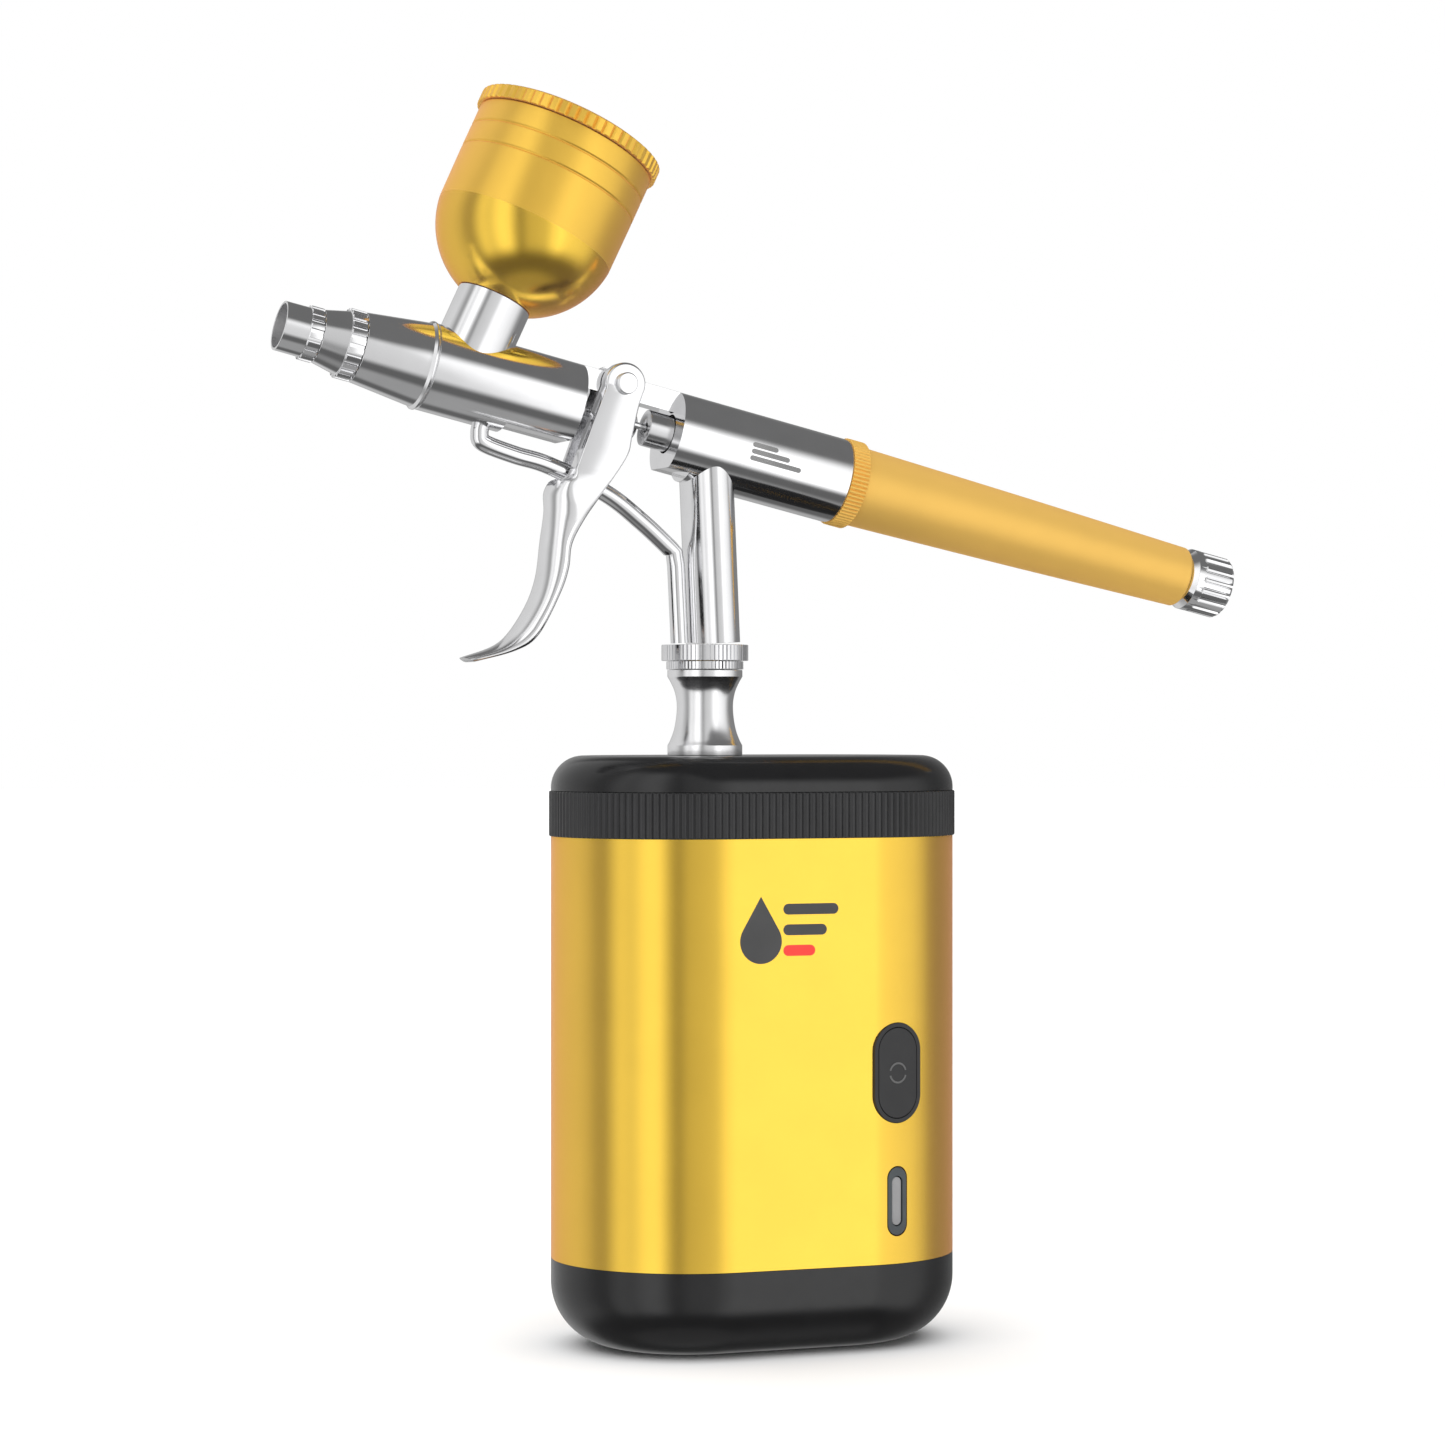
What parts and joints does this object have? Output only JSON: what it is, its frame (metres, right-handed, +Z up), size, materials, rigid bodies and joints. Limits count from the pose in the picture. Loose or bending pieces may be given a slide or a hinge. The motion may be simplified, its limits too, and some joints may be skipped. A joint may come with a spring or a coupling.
{
  "type": "cordless airbrush",
  "caption": "Trigger airbrush with a lidded gravity cup and a tapered handle, standing on a palm-sized battery compressor with round ends.",
  "frame": {"origin": "centre of the foot pad's underside, on the surface the compressor stands on", "axes": "+Z up, -Y out of the front face with the button and the charging port, -X towards the spray nozzle, +X towards the handle's end"},
  "size_m": [0.1848, 0.0494, 0.2231],
  "materials": {
    "gold_gloss": "smooth gold anodised, glossy",
    "gold_satin": "fine-turned gold anodised, satin",
    "chrome": "bright chrome plate on brass",
    "steel": "brushed steel",
    "brass": "turned brass",
    "gloss_black": "glossy black moulding",
    "satin_black": "satin black moulding",
    "grey_plastic": "dark grey moulding",
    "white_plastic": "off-white moulding",
    "rubber": "soft black rubber",
    "cell_sleeve": "blue shrink sleeve on a metal can",
    "board_green": "green circuit board"
  },
  "bodies": {
    "compressor": {"bottom_cap": "gloss_black", "foot_pad": "rubber", "case_screw_1": "steel", "case_screw_2": "steel", "shell": "gold_gloss", "ribbed_band": "satin_black", "top_cap": "gloss_black", "chassis": "grey_plastic", "battery_cell": "cell_sleeve", "circuit_board": "board_green", "usb_socket": "steel", "usb_tongue": "grey_plastic", "port_frame": "grey_plastic", "tact_switch": "steel", "button_bezel": "satin_black", "motor_can": "steel", "pump_housing": "grey_plastic", "diaphragm": "rubber", "valve_plate": "white_plastic", "pump_head": "grey_plastic", "head_screw_1": "steel", "head_screw_2": "steel", "head_screw_3": "steel", "outlet_hose": "rubber", "outlet_fitting": "brass", "outlet_coupling": "chrome"},
    "power_button": {"power_button": "satin_black"},
    "pump_rotor": {"motor_shaft": "steel", "eccentric_wheel": "white_plastic", "drive_pin": "steel"},
    "wobble_plate": {"wobble_plate": "white_plastic"},
    "lock_ring": {"lock_ring": "chrome"},
    "coupling_nut": {"coupling_nut": "chrome"},
    "gun": {"gun_body": "chrome", "grip_stem": "chrome", "air_pipe": "chrome", "pivot_pin": "chrome", "spray_head": "chrome", "fluid_nozzle": "brass", "cup_neck": "chrome", "needle_packing": "white_plastic", "spring_guide": "brass", "needle_spring": "steel", "inlet_stud": "brass"},
    "trigger": {"trigger": "chrome"},
    "needle_train": {"needle": "steel", "needle_slider": "steel", "needle_chuck": "steel", "valve_ring": "rubber"},
    "nozzle_cap": {"nozzle_cap": "chrome"},
    "air_cap": {"air_cap": "chrome"},
    "cup": {"cup": "gold_gloss"},
    "cup_lid": {"cup_lid": "gold_gloss"},
    "handle": {"handle": "gold_satin"},
    "end_knob": {"end_knob": "chrome"}
  },
  "joints": [
    {"name": "button_press", "type": "slide", "parent": "compressor", "child": "power_button", "axis": [-0.2079, 0.9781, 0], "range_m": [0, 0.0006], "stiffness_N_per_m": 500, "springref_m": -0.0006},
    {"name": "pump_spin", "type": "hinge", "parent": "compressor", "child": "pump_rotor", "pos_m": [-0.0093, 0, 0.055], "axis": [0, 0, 1], "continuous": true},
    {"name": "wobble_tilt", "type": "hinge", "parent": "compressor", "child": "wobble_plate", "pos_m": [-0.0093, 0, 0.0643], "axis": [0, 1, 0], "range_deg": [-3, 3], "stiffness_Nm_per_rad": 0.05},
    {"name": "lock_ring_turn", "type": "hinge", "parent": "compressor", "child": "lock_ring", "pos_m": [-0.0093, 0, 0.12], "axis": [0, 0, 1], "continuous": true},
    {"name": "coupling_nut_turn", "type": "hinge", "parent": "compressor", "child": "coupling_nut", "pos_m": [-0.0093, 0, 0.12], "axis": [0, 0, 1], "continuous": true},
    {"name": "gun_swivel", "type": "hinge", "parent": "compressor", "child": "gun", "pos_m": [-0.0093, 0, 0.12], "axis": [0, 0, 1], "continuous": true},
    {"name": "trigger_pull", "type": "hinge", "parent": "gun", "child": "trigger", "pos_m": [-0.02611, 0, 0.17083], "axis": [0, -1, 0], "range_deg": [0, 25], "stiffness_Nm_per_rad": 0.2, "springref_deg": -8.59, "deforming": ["needle_spring"]},
    {"name": "needle_draw", "type": "slide", "parent": "gun", "child": "needle_train", "axis": [0.9734, 0, -0.2292], "range_m": [0, 0.00235]},
    {"name": "nozzle_cap_turn", "type": "hinge", "parent": "gun", "child": "nozzle_cap", "pos_m": [-0.01646, 0, 0.1625], "axis": [0.9734, 0, -0.2292], "continuous": true},
    {"name": "air_cap_turn", "type": "hinge", "parent": "nozzle_cap", "child": "air_cap", "pos_m": [-0.01646, 0, 0.1625], "axis": [0.9734, 0, -0.2292], "continuous": true},
    {"name": "cup_turn", "type": "hinge", "parent": "gun", "child": "cup", "pos_m": [-0.05534, 0, 0.17153], "axis": [0.4258, 0, 0.9048], "continuous": true},
    {"name": "lid_lift", "type": "slide", "parent": "cup", "child": "cup_lid", "axis": [0.4258, 0, 0.9048], "range_m": [0, 0.022]},
    {"name": "handle_turn", "type": "hinge", "parent": "gun", "child": "handle", "pos_m": [-0.01646, 0, 0.1625], "axis": [0.9734, 0, -0.2292], "continuous": true},
    {"name": "end_knob_turn", "type": "hinge", "parent": "handle", "child": "end_knob", "pos_m": [-0.01646, 0, 0.1625], "axis": [0.9734, 0, -0.2292], "continuous": true}
  ],
  "couplings": [
    {"joint": "needle_draw", "follows": "trigger_pull", "m_per_rad": 0.0053}
  ]
}
